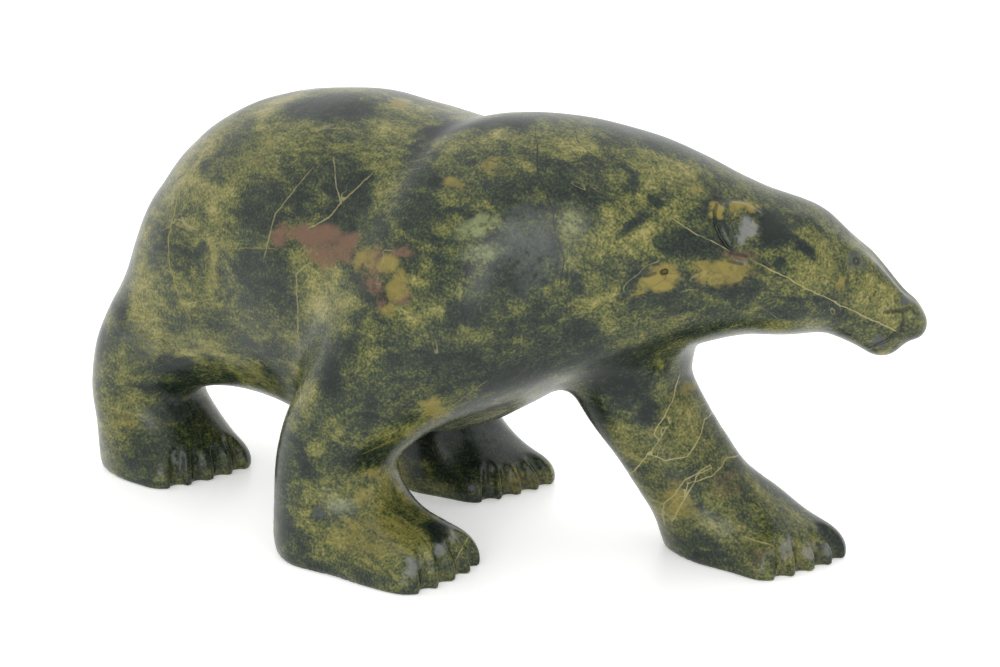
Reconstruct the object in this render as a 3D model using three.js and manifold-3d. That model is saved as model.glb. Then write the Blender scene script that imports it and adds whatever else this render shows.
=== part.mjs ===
// A walking bear carved from one block of mottled green soapstone, in millimetres, +Z up.
// It faces +X with its head turned to its left, and stands at Z = 0 on four flat soles.
// The form is one closed surface. Rows of ellipsoids make its trunk, head and legs and melt
// into each other, and the toes and ears are cut where the carver's rasp has cut them.

import * as THREE from "three";
import Module from "manifold-3d";

// Driving dimensions: the bear from its rump to its nose, across, and from its soles to its
// shoulder. The pose is drawn near this size, and stretched to it at the end.
const LENGTH = 376;
const WIDTH = 194;
const HEIGHT = 194;

// The rasp that parts the toes, how deep it bites, and the ridges over the eyes.
const TOE_GROOVE_RADIUS = 4.2;
const TOE_GROOVE_BITE = 3;
const BROW_RADIUS = 3.6;

// Widths over which one form melts into the next.
const LEG_BLEND = 20;
const HAUNCH_BLEND = 12;
const FOLD_BLEND = 10;
const PAW_BLEND = 17;
const HEAD_BLEND = 9;
const BROW_BLEND = 6;
const TOOL_BLEND = 1.6;

// The facets: the first grid's cell, how far an edge may lie off the surface, and their number.
const CELL = 10.5;
const CHORD_ERROR = 0.3;
const REFINE_ROUNDS = 4;
const MOST_TRIANGLES = 9500;

const degrees = (angle) => (angle * Math.PI) / 180;

// A station is one ellipsoid: its centre, its half sizes along, across and up, its turn to the
// bear's left and how far its front end droops, in degrees.
function station(x, y, z, along, across, up, turn = 0, droop = 0) {
  return [x, y, z, along, across, up, turn, droop];
}

// A smooth step from row b to row c at share t of the way, between neighbours a and d.
function between(a, b, c, d, t) {
  return b.map((start, i) => {
    const rise = (c[i] - a[i]) / 2;
    const bend = a[i] - 2.5 * start + 2 * c[i] - d[i] / 2;
    const turn = 1.5 * (start - c[i]) + (d[i] - a[i]) / 2;
    return start + t * (rise + t * (bend + t * turn));
  });
}

function ellipsoid([x, y, z, along, across, up, turn, droop]) {
  const axes = new THREE.Matrix4().makeRotationZ(degrees(turn));
  axes.multiply(new THREE.Matrix4().makeRotationY(degrees(droop)));
  return { centre: [x, y, z], half: [along, across, up], axes: axes.elements };
}

// The same, but squarer in plan.
function cushion(row) {
  return { ...ellipsoid(row), square: true };
}

// A limb is a row of stations with more ellipsoids filled in between them.
const FILL = 6;
function limb(stations, shape = ellipsoid) {
  const last = stations.length - 1;
  const rows = stations.slice(0, last).flatMap((start, i) => {
    const before = stations[Math.max(i - 1, 0)];
    const after = stations[Math.min(i + 2, last)];
    const shares = Array.from({ length: FILL }, (_, k) => k / FILL);
    return shares.map((t) => between(before, start, stations[i + 1], after, t));
  });
  return [...rows, stations[last]].map(shape);
}

// Nearly the distance from p to an ellipsoid's or cushion's surface, less than 0 inside.
const SMALLEST = 1e-9;
function toEllipsoid(p, { centre, half, axes, square }) {
  const dx = p[0] - centre[0];
  const dy = p[1] - centre[1];
  const dz = p[2] - centre[2];
  const u = ((dx * axes[0] + dy * axes[1] + dz * axes[2]) / half[0]) ** 2;
  const v = ((dx * axes[4] + dy * axes[5] + dz * axes[6]) / half[1]) ** 2;
  const w = ((dx * axes[8] + dy * axes[9] + dz * axes[10]) / half[2]) ** 2;
  const plan = square ? Math.hypot(u, v) : u + v;
  const lean = Math.max(plan, SMALLEST);
  const steepU = (square ? u * (u / lean) ** 2 : u) / half[0] ** 2;
  const steepV = (square ? v * (v / lean) ** 2 : v) / half[1] ** 2;
  const reach = Math.sqrt(plan + w);
  const slope = Math.sqrt(steepU + steepV + w / half[2] ** 2);
  return (reach * (reach - 1)) / Math.max(slope, SMALLEST);
}

// The distance to a limb: the least over its ellipsoids, eased by a parabola through the least
// one and its neighbours, so that the ellipsoids leave no rings.
function toLimb(p, ellipsoids) {
  const distances = ellipsoids.map((one) => toEllipsoid(p, one));
  const least = Math.min(...distances);
  const at = distances.indexOf(least);
  if (at === 0 || at === distances.length - 1) return least;
  const before = distances[at - 1];
  const after = distances[at + 1];
  const bend = before - 2 * least + after;
  return least - (after - before) ** 2 / (8 * Math.max(bend, SMALLEST));
}

// The distance to a rod with round ends, from ball a to ball b.
function toRod(p, a, b) {
  let along = 0;
  let long = 0;
  for (let i = 0; i < 3; i++) {
    along += (p[i] - a.centre[i]) * (b.centre[i] - a.centre[i]);
    long += (b.centre[i] - a.centre[i]) ** 2;
  }
  const t = Math.min(Math.max(along / long, 0), 1);
  const off = p.map((x, i) => x - a.centre[i] - t * (b.centre[i] - a.centre[i]));
  return Math.hypot(...off) - a.radius - t * (b.radius - a.radius);
}

// The distance to a row of balls joined by rods.
function toRow(p, balls) {
  let least = Infinity;
  for (let i = 1; i < balls.length; i++) least = Math.min(least, toRod(p, balls[i - 1], balls[i]));
  return least;
}

// Joins two forms, melting over the given width.
function melt(a, b, width) {
  const h = Math.max(width - Math.abs(a - b), 0) / width;
  return Math.min(a, b) - (h * h * width) / 4;
}

// Cuts form b out of form a, with an edge rounded over the given width.
function carve(a, b, width) {
  return -melt(-a, b, width);
}

// The trunk: rump, loins, ribs, shoulder hump and neck, to the back of the skull.
const trunk = limb([
  station(-114, -4, 107, 54, 53, 50),
  station(-89, 0, 111.5, 63, 62, 69),
  station(-48, 0, 112, 46, 65, 78.5),
  station(-14, 0, 114.5, 34, 63, 75.5),
  station(18, 1, 117, 27, 61.5, 71),
  station(40, 3, 125.5, 30, 60.5, 67),
  station(66, 11, 135.5, 38, 56, 58.5, 12),
  station(96, 28, 139.5, 40, 47, 48, 27),
  station(122, 46, 137.5, 32, 39, 36.5, 35),
  station(146, 63, 133.5, 28, 31, 28, 37),
]);

// The head has its own upright plane through the nose tip, turned to the bear's left. Its
// points are given ahead of the nose tip, to the left of the plane and above the ground.
const HEAD_TURN = 36;
const NOSE = [196, 101];
function headPoint(ahead, left, z) {
  const c = Math.cos(degrees(HEAD_TURN));
  const s = Math.sin(degrees(HEAD_TURN));
  return [NOSE[0] + ahead * c - left * s, NOSE[1] + ahead * s + left * c, z];
}
function headStation(ahead, z, along, across, up, droop) {
  return station(...headPoint(ahead, 0, z), along, across, up, HEAD_TURN, droop);
}

// Skull, forehead, muzzle and nose.
const skull = limb([
  headStation(-60, 133, 28, 30.5, 26, 10),
  headStation(-40, 125.5, 17, 22.5, 20.5, 30),
  headStation(-20.5, 114.5, 13, 13, 12, 46),
  headStation(-8.6, 111.2, 9.6, 9.5, 7.6, 44),
]);
const jaw = limb([
  headStation(-42, 120.5, 15, 16, 9.5, 15),
  headStation(-21, 103, 9.5, 9, 7.8, 30),
]);

// Two ridges run forward along the sides of the flat forehead, over the eyes, and fade out along
// the muzzle.
const brows = [-1, 1].map((side) => [
  { centre: headPoint(-58, side * 14, 154), radius: BROW_RADIUS },
  { centre: headPoint(-28, side * 8.5, 135), radius: BROW_RADIUS },
  { centre: headPoint(-9.5, side * 4.5, 116.2), radius: BROW_RADIUS },
]);

// Legs, each from the trunk down to the ground under the wrist or heel.
const rightFore = limb([
  station(44, -30, 120, 42, 34, 44),
  station(17.5, -51, 82, 30, 29.5, 30),
  station(-1.5, -60, 48, 26, 27.5, 25),
  station(-4, -58, 8, 29, 30.5, 28),
]);
const leftFore = limb([
  station(80, 35, 107, 37, 34, 36),
  station(85, 36.5, 77, 26.5, 27, 26),
  station(100, 43.5, 50, 22, 23.5, 24),
  station(122, 57.5, 10, 24.5, 24, 23),
]);
const rightHind = limb([
  station(-110, -25, 90, 48, 38, 40),
  station(-141.5, -38.5, 64, 31, 30, 29),
  station(-152.5, -41.5, 38, 27, 27, 27),
  station(-144.5, -40.5, 11, 25.5, 27.5, 22),
]);
const leftHind = limb([
  station(-84, 26, 92, 46, 38, 46),
  station(-58, 36, 60, 36, 30, 32),
  station(-38, 38, 34, 27, 27, 24),
  station(-34, 38, 9, 29, 28, 22),
]);
const legs = [
  { form: rightFore, blend: LEG_BLEND },
  { form: leftFore, blend: FOLD_BLEND },
  { form: rightHind, blend: LEG_BLEND },
  { form: leftHind, blend: HAUNCH_BLEND },
];

// A paw is a cushion behind and one under the toes, both with their middles near the ground.
const PAW_MIDDLE = 3;
function paw({ toes, turn, across, along, up }) {
  const c = Math.cos(degrees(turn));
  const s = Math.sin(degrees(turn));
  const at = (ahead, left) => [toes[0] + ahead * c - left * s, toes[1] + ahead * s + left * c];
  const half = along * 0.36;
  const rows = [
    station(...at(-along + half, 0), PAW_MIDDLE, half, across * 0.9, up, turn),
    station(...at(-half, 0), PAW_MIDDLE, half, across, up * 0.72, turn),
  ];
  return { at, across, along, form: limb(rows, cushion) };
}

// Where the middle toe ends, the turn, the half width, the length and the height of each paw.
const paws = [
  { toes: [64, -55.5], turn: 6, across: 28.5, along: 75, up: 28 },
  { toes: [169.5, 61], turn: -8, across: 29, along: 69, up: 24 },
  { toes: [-108.5, -42.5], turn: -8, across: 29.5, along: 57, up: 25 },
  { toes: [11.5, 43.5], turn: -10, across: 28, along: 62, up: 22 },
].map(paw);

// The bear before its toes and ears are cut. Its paws run on below the ground.
function rough(p) {
  let form = toLimb(p, trunk);
  for (const { form: leg, blend } of legs) form = melt(form, toLimb(p, leg), blend);
  form = melt(form, melt(toLimb(p, skull), toLimb(p, jaw), HEAD_BLEND), HEAD_BLEND);
  for (const brow of brows) form = melt(form, toRow(p, brow), BROW_BLEND);
  for (const { form: foot } of paws) form = melt(form, toLimb(p, foot), PAW_BLEND);
  return form;
}

// The point where a ray from inside leaves the rough form, moved on by the given distance.
const LONGEST_RAY = 60;
const RAY_ERROR = 0.01;
function outFrom(inside, ray, past) {
  let near = 0;
  let far = LONGEST_RAY;
  while (far - near > RAY_ERROR) {
    const half = (near + far) / 2;
    if (rough(inside.map((x, i) => x + half * ray[i])) < 0) near = half;
    else far = half;
  }
  return inside.map((x, i) => x + (near + past) * ray[i]);
}

// Four grooves part the five toes of a paw. Each runs from the top of the paw down over its
// front to below the ground, at these rises from a hub inside, with these shares of its bite.
const TOES = 5;
const GROOVE = [
  { rise: 34, bite: 0 },
  { rise: 23, bite: 0.75 },
  { rise: 8, bite: 1 },
  { rise: -14, bite: 1 },
  { rise: -40, bite: 1 },
];
const HUB_BACK = 0.33;
const HUB_HEIGHT = 5;
function toeGrooves({ at, across, along }) {
  const hub = [...at(-along * HUB_BACK, 0), HUB_HEIGHT];
  return Array.from({ length: TOES - 1 }, (_, j) => {
    const front = at(0, across * ((2 * (j + 1)) / TOES - 1));
    const plan = Math.atan2(front[1] - hub[1], front[0] - hub[0]);
    return GROOVE.map(({ rise, bite }) => {
      const level = Math.cos(degrees(rise));
      const ray = [Math.cos(plan) * level, Math.sin(plan) * level, Math.sin(degrees(rise))];
      const centre = outFrom(hub, ray, TOE_GROOVE_RADIUS - TOE_GROOVE_BITE * bite);
      return { centre, radius: TOE_GROOVE_RADIUS };
    });
  });
}
const grooves = paws.flatMap(toeGrooves);

// An ear is a crescent that stands out round a triangular hollow. Each ball of it is given by
// how far ahead of the nose tip it is, how many degrees it rises from the middle of the neck,
// its radius and how far it stands out of the neck, or reaches into it.
const NECK_MIDDLE = 140;
const CRESCENT = [
  { ahead: -83.3, rise: 18, radius: 2.4, out: 1.2 },
  { ahead: -86.6, rise: 28, radius: 3.2, out: 1.7 },
  { ahead: -87, rise: 38, radius: 3.6, out: 2.1 },
  { ahead: -84.5, rise: 43.5, radius: 3.6, out: 2.1 },
  { ahead: -79.5, rise: 45.5, radius: 3.2, out: 1.6 },
  { ahead: -73.5, rise: 42, radius: 2.6, out: 0.9 },
];
const HOLLOW = [
  { ahead: -81.4, rise: 34.5, radius: 1.7, into: 0.9 },
  { ahead: -77.3, rise: 19, radius: 0.6, into: 0.5 },
  { ahead: -75, rise: 33, radius: 2.6, into: 0.9 },
  { ahead: -81.4, rise: 34.5, radius: 1.7, into: 0.9 },
  { ahead: -78.2, rise: 31, radius: 4.2, into: 1.1 },
];
function earRow(side, balls) {
  return balls.map(({ ahead, rise, radius, out, into }) => {
    const middle = headPoint(ahead, 0, NECK_MIDDLE);
    const level = headPoint(ahead, side * Math.cos(degrees(rise)), 0);
    const ray = [level[0] - middle[0], level[1] - middle[1], Math.sin(degrees(rise))];
    const past = into === undefined ? out - radius : radius - into;
    return { centre: outFrom(middle, ray, past), radius };
  });
}
const crescents = [-1, 1].map((side) => earRow(side, CRESCENT));
const hollows = [-1, 1].map((side) => earRow(side, HOLLOW));

// The bear, less than 0 inside. Its paws end a little below the ground.
const BELOW_GROUND = 9;
const NO_DETAIL_BEYOND = 30;
const PAWS_TOP = 60;
function bear(p) {
  let form = Math.max(rough(p), -BELOW_GROUND - p[2]);
  if (form > NO_DETAIL_BEYOND) return form;
  if (p[2] < PAWS_TOP) {
    const cuts = grooves.map((groove) => toRow(p, groove));
    return carve(form, Math.min(...cuts), TOOL_BLEND);
  }
  for (const crescent of crescents) form = melt(form, toRow(p, crescent), TOOL_BLEND);
  for (const hollow of hollows) form = carve(form, toRow(p, hollow), TOOL_BLEND);
  return form;
}

// The box that holds the drawn pose, with room to spare.
const LOW = [-235, -125, -24];
const HIGH = [225, 130, 225];

// Moves p along the form's slope onto the surface.
const SLOPE_STEP = 0.05;
const LEAST_SLOPE = 0.05;
function settle(p, rounds) {
  let at = p;
  for (let k = 0; k < rounds; k++) {
    const here = at;
    const slope = here.map((_, i) => {
      const [ahead, behind] = [[...here], [...here]];
      ahead[i] += SLOPE_STEP;
      behind[i] -= SLOPE_STEP;
      return (bear(ahead) - bear(behind)) / (2 * SLOPE_STEP);
    });
    const steep = Math.max(slope[0] ** 2 + slope[1] ** 2 + slope[2] ** 2, LEAST_SLOPE);
    const value = bear(here);
    at = here.map((x, i) => x - (value * slope[i]) / steep);
  }
  return at;
}

// The middle of the points where the surface crosses the edges of one grid cell, as shares.
const CORNERS = [0, 1, 2, 3, 4, 5, 6, 7].map((c) => [c & 1, (c >> 1) & 1, c >> 2]);
function crossing(corner) {
  const sum = [0, 0, 0];
  let crossings = 0;
  for (let m = 0; m < CORNERS.length; m++)
    for (const bit of [1, 2, 4]) {
      const n = m | bit;
      if (n === m || corner[m] < 0 === corner[n] < 0) continue;
      const t = corner[m] / (corner[m] - corner[n]);
      for (let i = 0; i < 3; i++) sum[i] += CORNERS[m][i] + t * (CORNERS[n][i] - CORNERS[m][i]);
      crossings++;
    }
  return crossings ? sum.map((x) => x / crossings) : undefined;
}

// The first mesh has a point in each grid cell that the surface crosses, and a quad, cut in
// two, round each grid edge that crosses the surface.
const AXES = [
  [1, 0, 0],
  [0, 1, 0],
  [0, 0, 1],
];
const ROUND_AN_EDGE = [
  [0, 0],
  [1, 0],
  [1, 1],
  [0, 1],
];
const FIRST_SETTLE = 4;
function netted() {
  const count = LOW.map((x, i) => Math.ceil((HIGH[i] - x) / CELL) + 1);
  const index = (i, j, k) => (k * count[1] + j) * count[0] + i;
  const values = new Float64Array(count[0] * count[1] * count[2]);
  const cells = [];
  for (let k = 0; k < count[2]; k++)
    for (let j = 0; j < count[1]; j++)
      for (let i = 0; i < count[0]; i++) {
        values[index(i, j, k)] = bear([LOW[0] + i * CELL, LOW[1] + j * CELL, LOW[2] + k * CELL]);
        if (i && j && k) cells.push([i - 1, j - 1, k - 1]);
      }
  const points = [];
  const pointOf = new Map();
  for (const [i, j, k] of cells) {
    const share = crossing(CORNERS.map(([a, b, c]) => values[index(i + a, j + b, k + c)]));
    if (!share) continue;
    pointOf.set(index(i, j, k), points.length);
    points.push([i, j, k].map((n, axis) => LOW[axis] + (n + share[axis]) * CELL));
  }
  const apart = (m, n) => Math.hypot(...points[m].map((x, i) => x - points[n][i]));
  const triangles = [];
  for (const [i, j, k] of cells)
    for (const [axis, step] of AXES.entries()) {
      const here = values[index(i, j, k)] < 0;
      if (here === values[index(i + step[0], j + step[1], k + step[2])] < 0) continue;
      const b = AXES[(axis + 1) % 3];
      const c = AXES[(axis + 2) % 3];
      const [p, q, r, s] = ROUND_AN_EDGE.map(([m, n]) =>
        pointOf.get(
          index(i - m * b[0] - n * c[0], j - m * b[1] - n * c[1], k - m * b[2] - n * c[2]),
        ),
      );
      const halves = apart(p, r) < apart(q, s) ? [[p, q, r], [p, r, s]] : [[p, q, s], [q, r, s]];
      for (const half of halves) triangles.push(here ? half : half.reverse());
    }
  return { points: points.map((p) => settle(p, FIRST_SETTLE)), triangles };
}

// Evens the mesh out: each point moves half way to the middle of its neighbours, and then
// back onto the surface.
const LATER_SETTLE = 2;
function evened({ points, triangles }) {
  const sums = points.map(() => [0, 0, 0]);
  const counts = points.map(() => 0);
  for (const t of triangles)
    t.forEach((point, corner) => {
      for (const step of [1, 2]) {
        const neighbour = points[t[(corner + step) % 3]];
        neighbour.forEach((x, i) => (sums[point][i] += x));
        counts[point]++;
      }
    });
  const moved = points.map((p, n) =>
    settle(
      p.map((x, i) => (x + sums[n][i] / counts[n]) / 2),
      LATER_SETTLE,
    ),
  );
  return { points: moved, triangles };
}

// A triangle's parts, when the edges after its corners have the given points cut into them.
function parts(t, cut) {
  const cuts = cut.filter((point) => point !== undefined).length;
  if (cuts === 0) return [t];
  if (cuts === 3)
    return [[t[0], cut[0], cut[2]], [cut[0], t[1], cut[1]], [cut[2], cut[1], t[2]], cut];
  // Turn the triangle until its first edge is cut and, with two cuts, its last one isn't.
  let turn = 0;
  while (cut[turn] === undefined || (cuts === 2 && cut[(turn + 2) % 3] !== undefined)) turn++;
  const [a, b, c] = [0, 1, 2].map((corner) => t[(turn + corner) % 3]);
  const [ab, bc] = [cut[turn], cut[(turn + 1) % 3]];
  if (cuts === 1) return [[a, ab, c], [ab, b, c]];
  return [[ab, b, bc], [a, ab, bc], [a, bc, c]];
}

// Cuts the edges that lie furthest off the surface in two, while there are facets to spare.
const TRIED_ALONG_EDGE = [0.25, 0.5, 0.75];
const FACETS_FOR_A_CUT = 2;
function refined({ points, triangles }) {
  const edges = new Map();
  const key = (a, b) => Math.min(a, b) * MOST_TRIANGLES + Math.max(a, b);
  for (const t of triangles)
    t.forEach((a, corner) => {
      const b = t[(corner + 1) % 3];
      if (edges.has(key(a, b))) return;
      const at = (share) => points[a].map((x, i) => x + share * (points[b][i] - x));
      const error = Math.max(...TRIED_ALONG_EDGE.map((share) => Math.abs(bear(at(share)))));
      edges.set(key(a, b), { middle: at(0.5), error });
    });
  const worst = [...edges.values()].filter(({ error }) => error > CHORD_ERROR);
  worst.sort((one, other) => other.error - one.error);
  const room = Math.floor(Math.max(MOST_TRIANGLES - triangles.length, 0) / FACETS_FOR_A_CUT);
  const grown = [...points];
  for (const edge of worst.slice(0, room)) {
    edge.point = grown.length;
    grown.push(settle(edge.middle, FIRST_SETTLE));
  }
  const made = triangles.flatMap((t) =>
    parts(t, t.map((a, corner) => edges.get(key(a, t[(corner + 1) % 3])).point)),
  );
  return { points: grown, triangles: made };
}

// The drawn bear as a mesh that runs on below the ground.
function drawn() {
  let mesh = evened(evened(netted()));
  for (let k = 0; k < REFINE_ROUNDS; k++) mesh = evened(refined(mesh));
  return mesh;
}

// The points and triangles of a box that has its top at the ground and holds the rest of the paws.
const MARGIN = 10;
function underground() {
  const size = LOW.map((x, i) => HIGH[i] - x + 2 * MARGIN);
  const box = new THREE.BoxGeometry(size[0], size[1], -LOW[2] + MARGIN);
  box.translate((LOW[0] + HIGH[0]) / 2, (LOW[1] + HIGH[1]) / 2, (LOW[2] - MARGIN) / 2);
  const points = [];
  const pointOf = new Map();
  const corner = (n) => {
    const p = new THREE.Vector3().fromBufferAttribute(box.attributes.position, n).toArray();
    if (!pointOf.has(p.join())) pointOf.set(p.join(), points.push(p) - 1);
    return pointOf.get(p.join());
  };
  const triangles = [];
  for (let n = 0; n < box.index.count; n += 3)
    triangles.push([n, n + 1, n + 2].map((m) => corner(box.index.getX(m))));
  return { points, triangles };
}

const wasm = await Module();
wasm.setup();
function solid({ points, triangles }) {
  return new wasm.Manifold(
    new wasm.Mesh({
      numProp: 3,
      vertProperties: new Float32Array(points.flat()),
      triVerts: new Uint32Array(triangles.flat()),
    }),
  );
}

// The finished bear: cut flat at the ground, centred over the origin and brought to size.
function finished() {
  const cut = solid(drawn()).subtract(solid(underground())).getMesh();
  const geometry = new THREE.BufferGeometry();
  geometry.setAttribute("position", new THREE.BufferAttribute(cut.vertProperties, 3));
  geometry.setIndex(new THREE.BufferAttribute(cut.triVerts, 1));
  geometry.computeBoundingBox();
  const size = geometry.boundingBox.getSize(new THREE.Vector3());
  const middle = geometry.boundingBox.getCenter(new THREE.Vector3());
  geometry.translate(-middle.x, -middle.y, 0);
  geometry.scale(LENGTH / size.x, WIDTH / size.y, HEIGHT / size.z);
  geometry.computeVertexNormals();
  return geometry;
}

const stone = new THREE.MeshStandardMaterial({ color: 0x4e5730, roughness: 0.3, metalness: 0 });
const figure = new THREE.Mesh(finished(), stone);
figure.name = "bear";

const group = new THREE.Group();
group.add(figure);

export default group;
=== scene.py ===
"""A walking bear carved from one block of mottled green soapstone, waxed and polished, on a pale floor.

The form is drawn in millimetres, as rows of ellipsoids that melt into each other, and is brought to
the frame's box at the end. Places on the visible side are given in the picture, 1000 by 667 pixels,
and are found on the stone by a ray from the camera.
"""

import math

import bpy
import numpy as np
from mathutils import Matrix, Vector


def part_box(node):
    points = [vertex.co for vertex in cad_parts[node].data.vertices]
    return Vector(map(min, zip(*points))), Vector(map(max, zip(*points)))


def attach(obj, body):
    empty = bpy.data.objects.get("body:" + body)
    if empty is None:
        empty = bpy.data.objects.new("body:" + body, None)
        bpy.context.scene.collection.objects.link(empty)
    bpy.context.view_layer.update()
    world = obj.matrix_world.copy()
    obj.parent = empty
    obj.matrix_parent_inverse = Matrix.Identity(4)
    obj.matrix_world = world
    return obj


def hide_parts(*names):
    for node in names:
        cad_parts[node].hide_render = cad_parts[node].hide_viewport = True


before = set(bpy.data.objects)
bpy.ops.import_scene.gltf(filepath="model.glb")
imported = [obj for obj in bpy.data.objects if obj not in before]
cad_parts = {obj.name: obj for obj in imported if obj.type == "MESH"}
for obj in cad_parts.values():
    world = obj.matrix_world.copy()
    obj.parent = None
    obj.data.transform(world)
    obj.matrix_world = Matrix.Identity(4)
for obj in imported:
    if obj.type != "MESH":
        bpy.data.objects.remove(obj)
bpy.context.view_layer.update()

# The camera in the drawn frame, in millimetres: where it stands, what it looks at, and its lens.
EYE = np.array([904.6, -927.8, 482.2])
AIM = np.array([32.0, 8.0, 91.0])
PICTURE = np.array([1000.0, 667.0])
LENS = 108.0
SENSOR = 36.0
FOCAL = LENS / SENSOR * PICTURE[0]

# Widths over which one form melts into the next.
LEG_BLEND = 20.0
HAUNCH_BLEND = 12.0
FOLD_BLEND = 10.0
PAW_BLEND = 17.0
HEAD_BLEND = 9.0
BROW_BLEND = 6.0
TOOL_BLEND = 0.9

# The rasp that parts the toes, how deep it bites, and the ridges over the eyes.
TOE_GROOVE_RADIUS = 4.2
TOE_GROOVE_BITE = 3.0
BROW_RADIUS = 3.6

# How far the polished surface waves, and the softness of the finest cuts' edges.
WAVE = 0.22
FINE_BLEND = 0.3

# The distance that stands for out of reach, how far round a limb its distance is worked out, and
# the least divisor.
FAR = 90.0
MATTERS = 34.0
SMALLEST = 1e-9


def unit(v):
    return v / np.linalg.norm(v, axis=-1, keepdims=True)


def smooth(x):
    """A step from 0 to 1 with flat ends."""
    x = np.clip(x, 0.0, 1.0)
    return x * x * (3.0 - 2.0 * x)


def station(x, y, z, along, across, up, turn=0.0, droop=0.0):
    """One ellipsoid: centre, half sizes, turn to the left and droop of its front end in degrees."""
    return [x, y, z, along, across, up, turn, droop]


# How many ellipsoids a limb has for each one that is given.
FILL = 6


def between(a, b, c, d, t):
    """A smooth step from row b to row c at share t, between neighbours a and d."""
    rise = (c - a) / 2
    bend = a - 2.5 * b + 2 * c - d / 2
    turn = 1.5 * (b - c) + (d - a) / 2
    return b + t * (rise + t * (bend + t * turn))


class Limb:
    """A row of ellipsoids with more filled in between them, round or squarer in plan."""

    def __init__(self, stations, square=False):
        self.square = square
        rows = np.array(stations, float)
        last = len(rows) - 1
        filled = []
        for i in range(last):
            before, after = rows[max(i - 1, 0)], rows[min(i + 2, last)]
            filled += [between(before, rows[i], rows[i + 1], after, k / FILL) for k in range(FILL)]
        filled = np.array(filled + [rows[last]])
        centre, half = filled[:, :3], filled[:, 3:6]
        turn, droop = np.radians(filled[:, 6]), np.radians(filled[:, 7])
        ct, st, cd, sd = np.cos(turn), np.sin(turn), np.cos(droop), np.sin(droop)
        along = np.stack([ct * cd, st * cd, -sd], 1)
        across = np.stack([-st, ct, np.zeros_like(ct)], 1)
        up = np.stack([ct * sd, st * sd, cd], 1)
        axes = np.stack([along, across, up], 1) / half[:, :, None]
        self.into = axes.reshape(-1, 3).T
        self.origin = np.einsum("mij,mj->mi", axes, centre).reshape(-1)
        self.steepness = 1 / half**2
        self.count = len(centre)
        reach = half.max(1, keepdims=True) + MATTERS
        self.low, self.high = (centre - reach).min(0), (centre + reach).max(0)


# How many points are worked on at once.
CHUNK = 4000


def to_limb(points, form):
    """Nearly the distance to a limb, less than 0 inside, and FAR where it can't matter."""
    near = np.flatnonzero(((points > form.low) & (points < form.high)).all(1))
    found = np.full(len(points), FAR)
    for part in np.array_split(near, max(1, len(near) // CHUNK)):
        local = ((points[part] @ form.into - form.origin) ** 2).reshape(len(part), form.count, 3)
        plan = local[:, :, 0] + local[:, :, 1]
        steep = (local[:, :, :2] * form.steepness[:, :2]).sum(2)
        if form.square:
            plan = np.sqrt((local[:, :, :2] ** 2).sum(2))
            steep = (local[:, :, :2] ** 3 * form.steepness[:, :2]).sum(2) / np.maximum(plan**2, SMALLEST)
        size = np.sqrt(plan + local[:, :, 2])
        slope = np.sqrt(steep + local[:, :, 2] * form.steepness[:, 2])
        distance = size * (size - 1) / np.maximum(slope, SMALLEST)
        rows = np.arange(len(part))
        at = distance.argmin(1)
        least = distance[rows, at]
        before = distance[rows, np.maximum(at - 1, 0)]
        after = distance[rows, np.minimum(at + 1, form.count - 1)]
        bend = np.maximum(before - 2 * least + after, SMALLEST)
        inner = (at > 0) & (at < form.count - 1)
        found[part] = least - np.where(inner, (after - before) ** 2 / (8 * bend), 0.0)
    return found


def to_row(points, centres, radii):
    """The distance to a row of balls joined by rods."""
    found = np.full(len(points), FAR)
    for a, b, ra, rb in zip(centres[:-1], centres[1:], radii[:-1], radii[1:]):
        line = b - a
        t = np.clip((points - a) @ line / (line @ line), 0, 1)
        off = points - a - t[:, None] * line
        found = np.minimum(found, np.sqrt((off**2).sum(1)) - ra - t * (rb - ra))
    return found


def melt(a, b, width):
    """Joins two forms with a soft seam."""
    h = np.maximum(width - np.abs(a - b), 0) / width
    return np.minimum(a, b) - h * h * width / 4


def carve(a, b, width):
    """Cuts the second form out of the first, with a soft edge."""
    return -melt(-a, b, width)


# The trunk: rump, loins, ribs, shoulder hump and neck, to the back of the skull.
TRUNK = Limb([
    station(-114, -4, 107, 54, 53, 50),
    station(-89, 0, 111.5, 63, 62, 69),
    station(-48, 0, 112, 46, 65, 78.5),
    station(-14, 0, 114.5, 34, 63, 75.5),
    station(18, 1, 117, 27, 61.5, 71),
    station(40, 3, 125.5, 30, 60.5, 67),
    station(66, 11, 135.5, 38, 56, 58.5, 12),
    station(96, 28, 139.5, 40, 47, 48, 27),
    station(122, 46, 137.5, 32, 39, 36.5, 35),
    station(146, 63, 133.5, 28, 31, 28, 37),
])

# The head has its own upright plane through the nose tip, turned to the bear's left. Its points
# are given ahead of the nose tip, to the left of the plane and above the ground.
HEAD_TURN = 36.0
NOSE = np.array([196.0, 101.0, 0.0])
AHEAD = np.array([math.cos(math.radians(HEAD_TURN)), math.sin(math.radians(HEAD_TURN)), 0.0])
LEFT = np.array([-AHEAD[1], AHEAD[0], 0.0])
UP = np.array([0.0, 0.0, 1.0])


def head_point(ahead, left, z):
    return NOSE + ahead * AHEAD + left * LEFT + z * UP


def head_station(ahead, z, along, across, up, droop):
    return station(*head_point(ahead, 0, z), along, across, up, HEAD_TURN, droop)


# Skull, forehead, muzzle and nose, and the jaw below them.
SKULL = Limb([
    head_station(-60, 133, 28, 30.5, 26, 10),
    head_station(-40, 125.5, 17, 22.5, 20.5, 30),
    head_station(-20.5, 114.5, 13, 13, 12, 46),
    head_station(-8.6, 111.2, 9.6, 9.5, 7.6, 44),
])
JAW = Limb([
    head_station(-42, 120.5, 15, 16, 9.5, 15),
    head_station(-21, 103, 9.5, 9, 7.8, 30),
])
BROWS = [
    (
        np.array([
            head_point(-58, side * 14, 154),
            head_point(-28, side * 8.5, 135),
            head_point(-9.5, side * 4.5, 116.2),
        ]),
        [BROW_RADIUS] * 3,
    )
    for side in (-1, 1)
]

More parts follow.
